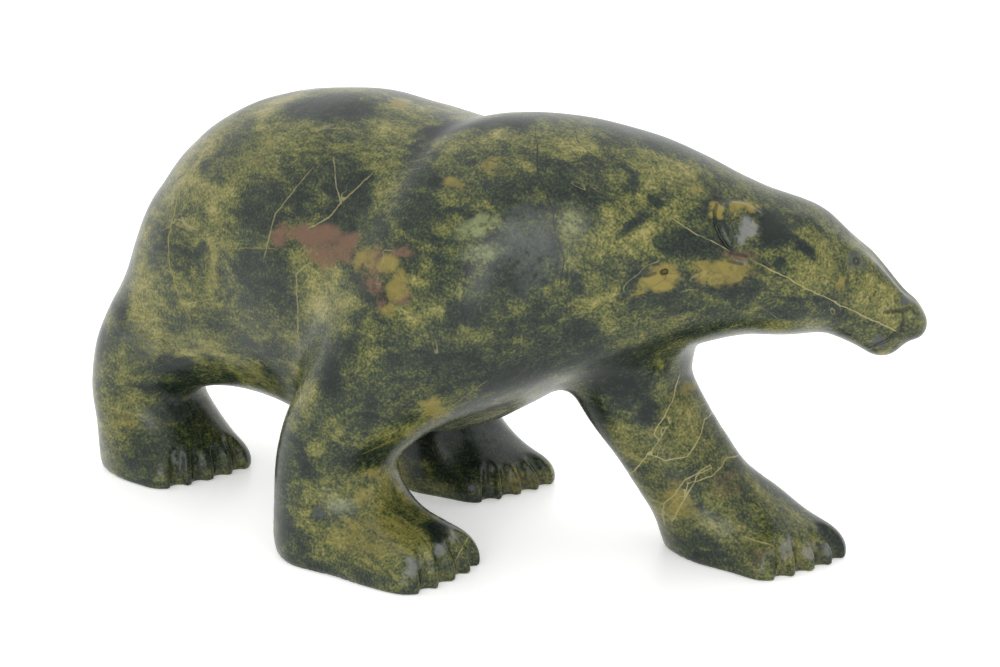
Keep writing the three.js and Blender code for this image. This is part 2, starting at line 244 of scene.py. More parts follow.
# Legs, each from the trunk down to the ground under the wrist or heel.
RIGHT_FORE = Limb([
    station(44, -30, 120, 42, 34, 44),
    station(17.5, -51, 82, 30, 29.5, 30),
    station(-1.5, -60, 48, 26, 27.5, 25),
    station(-4, -58, 8, 29, 30.5, 28),
])
LEFT_FORE = Limb([
    station(80, 35, 107, 37, 34, 36),
    station(85, 36.5, 77, 26.5, 27, 26),
    station(100, 43.5, 50, 22, 23.5, 24),
    station(122, 57.5, 10, 24.5, 24, 23),
])
RIGHT_HIND = Limb([
    station(-110, -25, 90, 48, 38, 40),
    station(-141.5, -38.5, 64, 31, 30, 29),
    station(-152.5, -41.5, 38, 27, 27, 27),
    station(-144.5, -40.5, 11, 25.5, 27.5, 22),
])
LEFT_HIND = Limb([
    station(-84, 26, 92, 46, 38, 46),
    station(-58, 36, 60, 36, 30, 32),
    station(-38, 38, 34, 27, 27, 24),
    station(-34, 38, 9, 29, 28, 22),
])
LEGS = [
    (RIGHT_FORE, LEG_BLEND),
    (LEFT_FORE, FOLD_BLEND),
    (RIGHT_HIND, LEG_BLEND),
    (LEFT_HIND, HAUNCH_BLEND),
]

# The height of a paw's middle, and the sizes of its two halves as shares of the paw's own.
PAW_MIDDLE = 3.0
PAW_HALF = 0.36
HEEL_WIDTH = 0.9
BALL_HEIGHT = 0.72


class Paw:
    """A cushion at the heel and one under the toes, both with their middles near the ground."""

    def __init__(self, x, y, turn, across, along, up):
        self.toes = np.array([x, y, 0.0])
        self.ahead = np.array([math.cos(math.radians(turn)), math.sin(math.radians(turn)), 0.0])
        self.left = np.array([-self.ahead[1], self.ahead[0], 0.0])
        self.across, self.along = across, along
        half = along * PAW_HALF
        heel, ball = self.at(half - along, 0, PAW_MIDDLE), self.at(-half, 0, PAW_MIDDLE)
        rows = [
            station(*heel, half, across * HEEL_WIDTH, up, turn),
            station(*ball, half, across, up * BALL_HEIGHT, turn),
        ]
        self.form = Limb(rows, square=True)

    def at(self, ahead, left, z):
        return self.toes + ahead * self.ahead + left * self.left + z * UP


PAWS = [
    Paw(64, -55.5, turn=6, across=28.5, along=75, up=28),
    Paw(169.5, 61, turn=-8, across=29, along=69, up=24),
    Paw(-108.5, -42.5, turn=-8, across=29.5, along=57, up=25),
    Paw(11.5, 43.5, turn=-10, across=28, along=62, up=22),
]


def rough(points):
    """The bear before its toes and ears are cut. Its paws run on below the ground."""
    form = to_limb(points, TRUNK)
    for leg, blend in LEGS:
        form = melt(form, to_limb(points, leg), blend)
    form = melt(form, melt(to_limb(points, SKULL), to_limb(points, JAW), HEAD_BLEND), HEAD_BLEND)
    for brow in BROWS:
        form = melt(form, to_row(points, *brow), BROW_BLEND)
    for paw in PAWS:
        form = melt(form, to_limb(points, paw.form), PAW_BLEND)
    return form


# The reach of a ray from inside, and how often the stretch that holds its end is halved.
LONGEST_RAY = 60.0
RAY_STEPS = 14


def out_from(inside, rays, past):
    """Where rays from inside leave the rough form, moved on by the given distances."""
    near, far = np.zeros(len(rays)), np.full(len(rays), LONGEST_RAY)
    for _ in range(RAY_STEPS):
        half = (near + far) / 2
        hit = rough(inside + half[:, None] * rays) < 0
        near, far = np.where(hit, half, near), np.where(hit, far, half)
    return inside + (near + past)[:, None] * rays


# Four grooves part the five toes of a paw. Each runs from the top of the paw down over its front,
# at these rises from a hub inside, with these shares of its bite.
TOES = 5
GROOVE_RISES = np.radians([34, 23, 8, -14, -40])
GROOVE_BITES = np.array([0, 0.75, 1, 1, 1])
# The hub is this share of the paw's length behind the toes, and this high.
HUB_BACK = 0.33
HUB_HEIGHT = 5.0


def toe_grooves(paw):
    hub = paw.at(-paw.along * HUB_BACK, 0, HUB_HEIGHT)
    rows = []
    for j in range(1, TOES):
        front = unit((paw.at(0, paw.across * (2 * j / TOES - 1), 0) - hub) * (1, 1, 0))
        rays = np.outer(np.cos(GROOVE_RISES), front) + np.outer(np.sin(GROOVE_RISES), UP)
        centres = out_from(hub, rays, TOE_GROOVE_RADIUS - TOE_GROOVE_BITE * GROOVE_BITES)
        rows.append((centres, [TOE_GROOVE_RADIUS] * len(rays)))
    return rows


GROOVES = [row for paw in PAWS for row in toe_grooves(paw)]

# An ear is a crescent that stands out round a triangular hollow. Each ball is given by how far
# ahead of the nose tip it is, its rise in degrees from the middle of the neck, its radius, and how
# far past the neck's surface its own outer side reaches.
NECK_MIDDLE = 140.0
CRESCENT = [
    (-83.3, 18, 2.4, 1.2),
    (-86.6, 28, 3.2, 1.7),
    (-87.0, 38, 3.6, 2.1),
    (-84.5, 43.5, 3.6, 2.1),
    (-79.5, 45.5, 3.2, 1.6),
    (-73.5, 42, 2.6, 0.9),
]
HOLLOW = [
    (-81.4, 34.5, 1.7, 0.9),
    (-77.3, 19, 0.6, 0.5),
    (-75.0, 33, 2.6, 0.9),
    (-81.4, 34.5, 1.7, 0.9),
    (-78.2, 31, 4.2, 1.1),
]


def ear_row(side, balls, outwards):
    ahead, rise, radius, past = np.array(balls, float).T
    rise = np.radians(rise)
    middle = NOSE + np.outer(ahead, AHEAD) + NECK_MIDDLE * UP
    rays = np.outer(side * np.cos(rise), LEFT) + np.outer(np.sin(rise), UP)
    return out_from(middle, rays, outwards * (past - radius)), radius


CRESCENTS = [ear_row(side, CRESCENT, 1) for side in (-1, 1)]
HOLLOWS = [ear_row(side, HOLLOW, -1) for side in (-1, 1)]

# The camera's axes, and how far along a ray from it the stone is looked for, to find places on the
# stone by their points in the picture.
SIGHT = unit(AIM - EYE)
RIGHTWARDS = unit(np.cross(SIGHT, UP))
UPWARDS = np.cross(RIGHTWARDS, SIGHT)
SIGHT_STEPS = np.arange(1050.0, 1620.0, 3.0)


def seen(pixels):
    """Where rays from the camera through picture points first meet the rough form, or pass it."""
    across, down = (np.atleast_2d(pixels) - PICTURE / 2).T
    rays = unit(FOCAL * SIGHT + np.outer(across, RIGHTWARDS) - np.outer(down, UPWARDS))
    places = EYE + SIGHT_STEPS[None, :, None] * rays[:, None]
    values = rough(places.reshape(-1, 3)).reshape(len(rays), -1)
    first = np.where((values < 0).any(1), (values < 0).argmax(1), values.argmin(1))
    near, far = SIGHT_STEPS[np.maximum(first - 1, 0)], SIGHT_STEPS[first]
    for _ in range(RAY_STEPS):
        half = (near + far) / 2
        hit = rough(EYE + half[:, None] * rays) < 0
        near, far = np.where(hit, near, half), np.where(hit, half, far)
    return EYE + far[:, None] * rays


# The slope is worked out from the form's values at the corners of a small tetrahedron.
SLOPE_STEP = 0.05
TETRAHEDRON = np.array([[1, 1, 1], [1, -1, -1], [-1, 1, -1], [-1, -1, 1]]) / math.sqrt(3)


def slope_of(form, points):
    """A form's value and slope at each point."""
    values = [form(points + SLOPE_STEP * corner) for corner in TETRAHEDRON]
    slope = sum(np.outer(v, corner) for v, corner in zip(values, TETRAHEDRON)) * 3 / (4 * SLOPE_STEP)
    return sum(values) / 4, slope


def mirrored(points):
    """The same places on the other side of the head."""
    return points - 2 * ((points - NOSE) @ LEFT)[:, None] * LEFT


def cut_row(places, radius, bites):
    """A row of balls that bite into the rough form at the given places."""
    value, slope = slope_of(rough, places)
    out = unit(slope)
    centres = places + (radius - np.array(bites) - value)[:, None] * out
    return centres, [radius] * len(places)


# The nostril, the line behind the nose pad, the mouth's slit and the step behind the ear, drawn on
# the right side. Each cut has picture points, the tool's radius and how deep it bites at each point.
NOSTRIL = [(884.0, 311.5), (890.0, 310.6), (903.0, 309.4), (909.5, 306.5)]
NOSE_PAD = [(903.0, 311.0), (903.0, 319.0), (900.5, 327.0)]
MOUTH = [(902.5, 329.5), (894.0, 332.6), (886.7, 338.6), (877.0, 343.0), (869.0, 345.8)]
EAR_STEP = [(717.0, 204.0), (714.2, 212.0), (715.2, 226.0), (720.0, 237.0), (727.0, 247.0), (733.0, 249.5)]
HEAD_CUTS = [
    (NOSTRIL, 0.7, [0.05, 0.5, 0.7, 0.1]),
    (NOSE_PAD, 0.5, [0.3, 0.2, 0.05]),
    (MOUTH, 0.7, [0.4, 0.8, 0.55, 0.4, 0.05]),
    (EAR_STEP, 0.6, [0.1, 0.5, 0.5, 0.45, 0.4, 0.1]),
]
# The pit and nicks of the stone's own behind the right cheek.
FLAWS = [
    ([(663.0, 272.2), (665.4, 271.6)], 1.15, [1.2, 1.2]),
    ([(648.0, 276.0), (655.0, 273.5)], 0.5, [0.2, 0.35]),
    ([(731.0, 253.0), (747.0, 256.0)], 0.5, [0.15, 0.25]),
    ([(728.0, 261.0), (742.0, 264.0)], 0.5, [0.1, 0.25]),
    ([(764.0, 263.5), (769.0, 266.0)], 0.6, [0.3, 0.3]),
    ([(701.0, 259.0), (706.0, 258.0)], 0.5, [0.4, 0.4]),
]
BOTH_SIDES = (np.array, mirrored)
FINE_CUTS = [
    cut_row(side(seen(pixels)), radius, bites)
    for pixels, radius, bites in HEAD_CUTS
    for side in BOTH_SIDES
]
FINE_CUTS += [cut_row(seen(pixels), radius, bites) for pixels, radius, bites in FLAWS]

# An eye is a ring left by a tube drill.
EYE_PIXEL = (855.8, 260.6)
EYE_RING = 1.25
EYE_CUT = 0.42


def eye(side):
    """The middle of an eye on the surface, and the way that it faces."""
    place = side(seen(EYE_PIXEL))
    value, slope = slope_of(rough, place)
    facing = unit(slope)
    return (place - value[:, None] * facing)[0], facing[0]


EYES = [eye(side) for side in BOTH_SIDES]


def to_ring(points, centre, axis):
    """The distance to the groove of an eye."""
    off = points - centre
    height = off @ axis
    out = np.sqrt(np.maximum((off**2).sum(1) - height**2, 0))
    return np.hypot(out - EYE_RING, height) - EYE_CUT


# A hash that gives each lattice point a random value.
LATTICE = np.array([73856093, 19349663, 83492791])
HASH = 2654435761
HASH_RANGE = 2**32
CORNERS = np.array([[c & 1, c >> 1 & 1, c >> 2] for c in range(8)])


def speckle(points, size):
    """Smooth random values from 0 to 1 that change over the given size."""
    cells = points / size
    base = np.floor(cells).astype(np.int64)
    part = smooth(cells - base)
    total = np.zeros(len(points))
    for corner in CORNERS:
        value = ((base + corner) * LATTICE).sum(1) * HASH % HASH_RANGE / HASH_RANGE
        total += value * np.where(corner == 1, part, 1 - part).prod(1)
    return total


# How deep a cloud is along the camera's sight: this much, or this share of its half width if that
# is more.
CLOUD_DEPTH = 26.0
CLOUD_DEPTH_SHARE = 0.7


def clouds(rows):
    """Soft ellipsoids in the stone, from picture places, half sizes and tilt in degrees."""
    made = []
    for centre, row in zip(seen([row[:2] for row in rows]), rows):
        across, up, tilt = row[2], row[3], math.radians(row[4])
        scale = (centre - EYE) @ SIGHT / FOCAL
        along = math.cos(tilt) * RIGHTWARDS + math.sin(tilt) * UPWARDS
        over = math.cos(tilt) * UPWARDS - math.sin(tilt) * RIGHTWARDS
        depth = max(CLOUD_DEPTH, CLOUD_DEPTH_SHARE * across * scale)
        made.append((centre, np.array([along / (across * scale), over / (up * scale), SIGHT / depth])))
    return made


def share(points, cloud):
    """How much a place belongs to a cloud, from 0 to 1."""
    centre, axes = cloud
    return np.exp(-(((points - centre) @ axes.T) ** 2).sum(1) ** 2)


# The rust-red band across the flank was left unpolished and is pitted.
RUST = clouds([
    (316, 238, 54, 13, -3),
    (335, 256, 36, 10, -4),
    (382, 268, 30, 17, -25),
    (398, 296, 17, 12, 40),
    (385, 312, 10, 12, 0),
])
# The pits' size and depth, the speckle's value at which a pit begins and how much more makes its
# full depth, and the depth and size of wider dents as multiples of the pits'.
PIT_SIZE = 1.1
PIT_DEPTH = 0.35
PIT_FROM, PIT_EDGE = 0.45, 0.4
DENT_DEPTH, DENT_SIZE = 0.5, 2.6
RUST_LOW = np.min([centre for centre, axes in RUST], 0) - CLOUD_DEPTH
RUST_HIGH = np.max([centre for centre, axes in RUST], 0) + CLOUD_DEPTH


def pits(points):
    """How deep the pitted band lies under the polished surface."""
    there = np.max([share(points, cloud) for cloud in RUST], 0)
    holes = smooth((speckle(points, PIT_SIZE) - PIT_FROM) / PIT_EDGE)
    dents = DENT_DEPTH * speckle(points, DENT_SIZE * PIT_SIZE)
    return PIT_DEPTH * there * (holes + dents)


# Three crossing waves. Each column holds the lengths of one along x, y and z.
WAVES = 2 * math.pi / np.array([[38.0, 61.0, 47.0], [-52.0, 33.0, 70.0], [80.0, -45.0, 29.0]])
GROUND_BLEND = 1.6
# The toes are below this height. Above it, the head is ahead of this place. Pits are worked out
# this near the surface.
TOES_BELOW = 60.0
HEAD_FROM = 90.0
PITS_WITHIN = 6.0


def bear(points):
    """The whole form, less than 0 inside. The ground cuts the paws flat."""
    form = rough(points) + WAVE * np.sin(points @ WAVES).mean(1)
    low = points[:, 2] < TOES_BELOW
    cuts = np.full(low.sum(), FAR)
    for row in GROOVES:
        cuts = np.minimum(cuts, to_row(points[low], *row))
    form[low] = carve(form[low], cuts, TOOL_BLEND)
    high = ~low & (points[:, 0] > HEAD_FROM)
    head = form[high]
    for row in CRESCENTS:
        head = melt(head, to_row(points[high], *row), TOOL_BLEND)
    for row in HOLLOWS:
        head = carve(head, to_row(points[high], *row), TOOL_BLEND)
    for row in FINE_CUTS:
        head = carve(head, to_row(points[high], *row), FINE_BLEND)
    for centre, axis in EYES:
        head = carve(head, to_ring(points[high], centre, axis), FINE_BLEND)
    form[high] = head
    banded = ((points > RUST_LOW) & (points < RUST_HIGH)).all(1)
    pitted = np.flatnonzero(banded & (np.abs(form) < PITS_WITHIN))
    form[pitted] += pits(points[pitted])
    return carve(form, points[:, 2], GROUND_BLEND)


# The first grid holds the drawn pose with room to spare.
LOW = np.array([-200.0, -110.0, -14.0])
HIGH = np.array([215.0, 125.0, 215.0])
CELL = 5.0
LEAST_STEEPNESS = 0.05


def settle(points, rounds):
    """Moves points along the form's slope onto the surface."""
    for _ in range(rounds):
        value, slope = slope_of(bear, points)
        points = points - (value / np.maximum((slope**2).sum(1), LEAST_STEEPNESS))[:, None] * slope
    return points


def netted():
    """A first mesh: a point in each grid cell that the surface crosses, and two triangles round
    each grid edge that crosses it."""
    count = np.ceil((HIGH - LOW) / CELL).astype(int) + 1
    grid = np.stack(np.meshgrid(*[np.arange(n) for n in count], indexing="ij"), -1).reshape(-1, 3)
    values = bear(LOW + grid * CELL).reshape(count)
    inside = values < 0
    n = count - 1
    corner_values = np.stack([values[a:n[0] + a, b:n[1] + b, c:n[2] + c] for a, b, c in CORNERS], -1)
    crossed = np.argwhere((corner_values.min(-1) < 0) & (corner_values.max(-1) >= 0))
    at = corner_values[tuple(crossed.T)]
    total, crossings = np.zeros((len(crossed), 3)), np.zeros(len(crossed))
    for m in range(len(CORNERS)):
        for bit in (1, 2, 4):
            k = m | bit
            if k == m:
                continue
            cut = (at[:, m] < 0) != (at[:, k] < 0)
            t = at[cut, m] / (at[cut, m] - at[cut, k])
            total[cut] += CORNERS[m] + t[:, None] * (CORNERS[k] - CORNERS[m])
            crossings[cut] += 1
    points = LOW + (crossed + total / crossings[:, None]) * CELL
    point_of = np.full(count, -1)
    point_of[tuple(crossed.T)] = np.arange(len(crossed))
    quads = []
    for axis in range(3):
        step = np.eye(3, dtype=int)[axis]
        b, c = np.eye(3, dtype=int)[(axis + 1) % 3], np.eye(3, dtype=int)[(axis + 2) % 3]
        ends = [slice(step[i], None) for i in range(3)]
        starts = [slice(None, count[i] - step[i]) for i in range(3)]
        edges = np.argwhere(inside[tuple(starts)] != inside[tuple(ends)])
        ring = [point_of[tuple((edges - m * b - k * c).T)] for m, k in ((0, 0), (1, 0), (1, 1), (0, 1))]
        quad = np.stack(ring, 1)
        outward = inside[tuple(edges.T)]
        quads.append(np.where(outward[:, None], quad, quad[:, ::-1]))
    quads = np.vstack(quads)
    p, q, r, s = (points[quads[:, i]] for i in range(4))
    short = np.linalg.norm(p - r, axis=1) < np.linalg.norm(q - s, axis=1)
    first = np.where(short[:, None], quads[:, [0, 1, 2]], quads[:, [0, 1, 3]])
    second = np.where(short[:, None], quads[:, [0, 2, 3]], quads[:, [1, 2, 3]])
    return settle(points, 3), np.vstack([first, second])


def evened(points, triangles, moved):
    """Moves points half way to the middle of their neighbours, and back onto the surface."""
    a = np.concatenate([triangles[:, i] for i in (0, 1, 2, 0, 1, 2)])
    b = np.concatenate([triangles[:, i] for i in (1, 2, 0, 2, 0, 1)])
    degree = np.bincount(a, minlength=len(points))[:, None]
    total = np.stack([np.bincount(a, points[b, i], len(points)) for i in range(3)], 1)
    points = points.copy()
    points[moved] = settle((points[moved] + (total / degree)[moved]) / 2, 2)
    return points


def split(points, triangles, longest):
    """Cuts in two each edge that is longer than the function longest says at its middle."""
    pairs = np.stack([triangles, np.roll(triangles, -1, axis=1)], -1)
    keys = pairs.min(-1) * len(points) + pairs.max(-1)
    edges, edge_of = np.unique(keys, return_inverse=True)
    a, b = np.divmod(edges, len(points))
    middle = (points[a] + points[b]) / 2
    long = np.linalg.norm(points[a] - points[b], axis=1) > longest(middle)
    made = np.where(long, len(points) + np.cumsum(long) - 1, -1)
    cut = made[edge_of.reshape(triangles.shape)]
    cuts = (cut >= 0).sum(1)
    # Turn each triangle until its first edge is cut and, with two cuts, its last one isn't.
    for _ in range(2):
        wrong = (cut[:, 0] < 0) & (cuts > 0) | (cuts == 2) & (cut[:, 2] >= 0)
        triangles = np.where(wrong[:, None], np.roll(triangles, -1, axis=1), triangles)
        cut = np.where(wrong[:, None], np.roll(cut, -1, axis=1), cut)
    a, b, c = triangles.T
    ab, bc, ca = cut.T
    shapes = {
        0: [(a, b, c)],
        1: [(a, ab, c), (ab, b, c)],
        2: [(ab, b, bc), (a, ab, bc), (a, bc, c)],
        3: [(a, ab, ca), (ab, b, bc), (ca, bc, c), (ab, bc, ca)],
    }
    parts = [np.stack(part, 1)[cuts == n] for n, ways in shapes.items() for part in ways]
    return np.vstack([points, middle[long]]), np.vstack(parts)


# How long an edge may be at first, and then on the trunk, on the head, at the toes, along the finest
# cuts, round the eyes, at the ears and in the rust-red band.
FIRST_EDGE = 3.8
TRUNK_EDGE, HEAD_EDGE, TOE_EDGE, CUT_EDGE, RUST_EDGE = 3.0, 1.65, 1.55, 0.45, 1.1
EYE_EDGE = 0.7 * CUT_EDGE
EAR_EDGE = 1.8 * CUT_EDGE
# How fast edges may grow away from a cut and from an ear, and how near a cut they don't.
CUT_GROWTH, EAR_GROWTH = 0.5, 0.6
CUT_MARGIN = 0.2
# The middle of the head, and how far round it the head's edges reach and fade out.
HEAD_MIDDLE = head_point(-40, 0, 125)
HEAD_REACH, HEAD_FADE = 50, 30
# How far behind, ahead of, beside and above a paw's toes their edges reach, and how far they fade.
TOES_BEHIND, TOES_AHEAD, TOES_BESIDE, TOES_ABOVE, TOES_FADE = 26, 8, 6, 26, 10
# The share of the band at which its edges begin, and over which they fade in.
RUST_FROM, RUST_FADE = 0.1, 0.3


def first_lengths(points):
    return np.full(len(points), FIRST_EDGE)


def fine_lengths(points):
    """How long an edge may be: short on the head and toes, and shortest along the finest cuts."""
    head = np.linalg.norm(points - HEAD_MIDDLE, axis=1)
    length = HEAD_EDGE + (TRUNK_EDGE - HEAD_EDGE) * smooth((head - HEAD_REACH) / HEAD_FADE)
    for paw in PAWS:
        ahead = (points - paw.toes) @ paw.ahead
        side = np.abs((points - paw.toes) @ paw.left) - paw.across
        along = np.maximum(-ahead - TOES_BEHIND, ahead - TOES_AHEAD)
        away = np.maximum(along, np.maximum(side - TOES_BESIDE, points[:, 2] - TOES_ABOVE))
        length = np.minimum(length, TOE_EDGE + (TRUNK_EDGE - TOE_EDGE) * smooth(away / TOES_FADE))
    for row in FINE_CUTS:
        away = np.maximum(to_row(points, *row) - CUT_MARGIN, 0)
        length = np.minimum(length, CUT_EDGE + CUT_GROWTH * away)
    for centre, axis in EYES:
        away = np.maximum(to_ring(points, centre, axis) - CUT_MARGIN, 0)
        length = np.minimum(length, EYE_EDGE + CUT_GROWTH * away)
    for row in CRESCENTS + HOLLOWS:
        length = np.minimum(length, EAR_EDGE + EAR_GROWTH * np.maximum(to_row(points, *row), 0))
    there = smooth((np.max([share(points, cloud) for cloud in RUST], 0) - RUST_FROM) / RUST_FADE)
    return np.minimum(length, TRUNK_EDGE + (RUST_EDGE - TRUNK_EDGE) * there)


FINE_ROUNDS = 5


def meshed():
    """The surface as triangles, finer where the detail is finer."""
    points, triangles = netted()
    for _ in range(2):
        points = evened(points, triangles, slice(None))
    points, triangles = split(points, triangles, first_lengths)
    points = evened(settle(points, 1), triangles, slice(None))
    for _ in range(FINE_ROUNDS):
        count = len(points)
        points, triangles = split(points, triangles, fine_lengths)
        points[count:] = settle(points[count:], 2)
        fresh = np.zeros(len(points), bool)
        fresh[triangles[(triangles >= count).any(1)]] = True
        points = evened(points, triangles, fresh)
    return points, triangles


points, triangles = meshed()

# Bring the drawn form to the frame's box.
drawn_low, drawn_high = points.min(0), points.max(0)
box_low, box_high = (np.array(corner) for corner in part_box("bear"))


def placed(points):
    """Drawn points, in millimetres, as places in the frame, in metres."""
    return box_low + (np.asarray(points) - drawn_low) / (drawn_high - drawn_low) * (box_high - box_low)


def make_mesh(name, points, triangles):
    mesh = bpy.data.meshes.new(name)
    mesh.from_pydata(placed(points).tolist(), [], triangles.tolist())
    mesh.shade_smooth()
    made = bpy.data.objects.new(name, mesh)
    bpy.context.scene.collection.objects.link(made)
    return made


figure = make_mesh("bear_figure", points, triangles)

# The stone's clouds as the picture shows them, and some painted shade: x, y, half across, half up, tilt,
# tone, strength.
# The tone goes from about -1, green-black, to 1, yellow-green. Later rows lie over earlier ones.
TONES = [
    # Rump and flank.
    (145, 310, 24, 75, 8, 0.8, 0.85),
    (262, 158, 52, 34, 10, 0.35, 0.9),
    (325, 108, 50, 19, -8, -0.9, 0.85),
    (258, 216, 42, 34, 0, -0.55, 0.8),
    (353, 186, 20, 32, 0, -0.65, 0.85),
    (332, 188, 11, 19, 0, -0.6, 0.7),
    (262, 288, 36, 38, 0, -0.5, 0.8),
    (320, 350, 70, 32, 0, -0.15, 0.7),
    (211, 272, 9, 50, -4, 0.5, 0.85),
    (223, 209, 6, 17, 0, 0.45, 0.8),
    (202, 225, 6, 20, 0, 0.45, 0.8),
    (215, 257, 6, 10, 0, 1.0, 0.8),
    (202, 253, 8, 10, 0, -0.7, 0.7),
    (337, 303, 8, 6, 0, 0.8, 0.8),
    (340, 324, 12, 7, 10, 0.5, 0.8),
    (265, 335, 8, 5, 20, 0.7, 0.8),
    (286, 341, 7, 5, 0, 0.6, 0.8),
    (215, 365, 7, 6, 0, 0.7, 0.8),
    (307, 124, 14, 5, 20, 0.7, 0.7),
    # Saddle and shoulder.
    (386, 146, 36, 21, 0, 0.35, 0.9),
    (385, 182, 15, 48, 0, 0.45, 0.85),
    (482, 172, 42, 32, 0, 0.05, 0.8),
    (575, 146, 32, 21, 0, 0.75, 0.9),
    (417, 208, 24, 27, 0, -0.6, 0.85),
    (512, 186, 33, 10, 0, -0.55, 0.8),
    (527, 250, 36, 50, 0, -0.5, 0.8),
    (500, 318, 70, 30, 0, -0.5, 0.8),
    (525, 372, 42, 14, 20, -0.9, 0.85),
    (419, 149, 11, 7, 40, -1.1, 0.9),
    (447, 130, 32, 9, 8, -1.2, 0.9),
    (500, 123, 34, 8, 4, -1.1, 0.85),
    (470, 165, 6, 5, 0, -0.8, 0.8),
    (435, 184, 7, 6, 0, -0.9, 0.8),
    (431, 155, 6, 6, 0, -0.9, 0.8),
    (561, 166, 14, 4, -5, -0.9, 0.8),
    (591, 160, 7, 6, 0, -0.9, 0.8),
    (451, 223, 12, 8, 20, 0.5, 0.8),
    (482, 208, 13, 5, 10, 0.5, 0.8),
    (480, 231, 24, 11, 10, 0.35, 0.8),
    (482, 254, 20, 8, 0, 0.25, 0.7),
    (575, 222, 15, 22, 0, 0.4, 0.7),
    (556, 252, 7, 9, 0, -1.0, 0.9),
    (460, 314, 20, 16, 0, -0.9, 0.85),
    (520, 280, 21, 18, 0, -0.75, 0.8),
    (580, 332, 20, 13, 0, -0.8, 0.8),
    (575, 288, 15, 12, 0, -0.75, 0.8),
    (432, 309, 12, 9, 30, 0.65, 0.8),
    (458, 293, 6, 6, 0, 0.6, 0.8),
    (503, 311, 24, 10, 20, 0.35, 0.75),
    (467, 336, 27, 8, 10, 0.4, 0.75),
    (535, 292, 11, 8, 0, 0.4, 0.75),
    (570, 268, 11, 6, 0, 0.5, 0.75),
    (590, 284, 11, 6, 0, 0.5, 0.75),
    (592, 307, 19, 5, 30, 0.85, 0.8),
    (421, 282, 6, 8, 0, 0.5, 0.75),
    # Neck.
    (650, 172, 54, 28, 0, 0.6, 0.9),
    (680, 168, 22, 12, 0, 1.0, 0.8),
    (690, 243, 34, 19, 5, -0.85, 0.9),
    (660, 308, 44, 14, 0, -0.65, 0.8),
    (697, 215, 18, 10, 0, -0.45, 0.7),
    (631, 181, 9, 11, 0, -0.8, 0.85),
    (620, 168, 9, 7, 0, -0.8, 0.85),
    (655, 200, 7, 11, 60, -0.9, 0.85),
    (634, 222, 21, 7, 50, -0.9, 0.85),
    (665, 214, 15, 8, 20, 0.55, 0.8),
    (698, 194, 17, 8, 10, 0.55, 0.8),
    (630, 245, 15, 5, 10, 0.5, 0.8),
    (612, 294, 9, 6, 20, 0.65, 0.8),
    (648, 312, 22, 6, 5, 0.3, 0.7),
    (730, 285, 32, 5, -5, -0.8, 0.8),
    (785, 324, 46, 6, 0, 0.4, 0.8),
    # Head.
    (812, 262, 28, 34, 0, 0.6, 0.85),
    (733, 232, 9, 13, 0, -0.2, 0.8),
    (772, 230, 18, 15, 0, -1.1, 0.9),
    (800, 246, 15, 5, -30, -1.1, 0.9),
    (778, 264, 11, 7, -40, -1.0, 0.85),
    (818, 297, 8, 3, 0, -1.0, 0.8),
    (877, 300, 27, 20, -30, 0.75, 0.85),
    (912, 325, 12, 9, 0, 0.3, 0.8),
    # Right fore leg.
    (372, 425, 75, 75, 0, -0.2, 0.7),
    (332, 375, 14, 26, 0, -0.85, 0.85),
    (372, 415, 9, 15, 0, -0.85, 0.85),
    (467, 360, 14, 21, 0, -0.9, 0.85),
    (365, 456, 36, 12, 0, -0.7, 0.8),
    (314, 451, 12, 11, 0, 0.75, 0.85),
    (310, 390, 5, 6, 0, 0.75, 0.8),
    (305, 415, 5, 15, 0, 0.6, 0.8),
    (342, 432, 9, 7, 20, 0.65, 0.8),
    (425, 417, 62, 8, 30, 0.5, 0.8),
    (372, 471, 9, 6, 0, 0.8, 0.8),
    (362, 498, 9, 6, 0, 0.8, 0.8),
    (320, 515, 9, 7, 0, -0.8, 0.8),
    (400, 560, 80, 34, 0, 0.25, 0.85),
    (372, 538, 58, 26, 0, 0.4, 0.8),
    (335, 572, 46, 10, -4, -0.4, 0.8),
    (437, 533, 13, 15, 0, -1.1, 0.85),
    # Left fore leg.
    (690, 455, 60, 80, 0, 0.2, 0.8),
    (628, 382, 27, 26, 0, -0.85, 0.85),
    (647, 412, 9, 13, 0, -1.1, 0.85),
    (657, 370, 4, 11, 0, 0.5, 0.8),
    (686, 425, 20, 32, 0, 0.55, 0.8),
    (700, 503, 5, 5, 0, -1.0, 0.8),
    (718, 514, 11, 6, 0, -1.0, 0.8),
    (800, 540, 38, 24, -20, 0.45, 0.8),
    (775, 535, 80, 45, -20, 0.25, 0.85),
    # Right hind leg.
    (125, 400, 50, 60, 0, 0.35, 0.8),
    # Painted shade: the fold where the flank overhangs the right hind thigh, and the thigh under it.
    (175, 368, 26, 10, 10, -1.0, 0.85),
    (158, 390, 33, 5, 0, -0.9, 0.8),
    (178, 412, 23, 17, 0, -0.85, 0.8),
    (122, 420, 22, 20, 0, 0.4, 0.8),
    (125, 350, 5, 20, 0, 0.6, 0.7),
    (195, 450, 62, 34, 0, -0.3, 0.8),
    # Left hind leg.
    (495, 445, 55, 55, 0, -0.75, 0.9),
    (522, 480, 38, 20, 0, 0.15, 0.8),
]
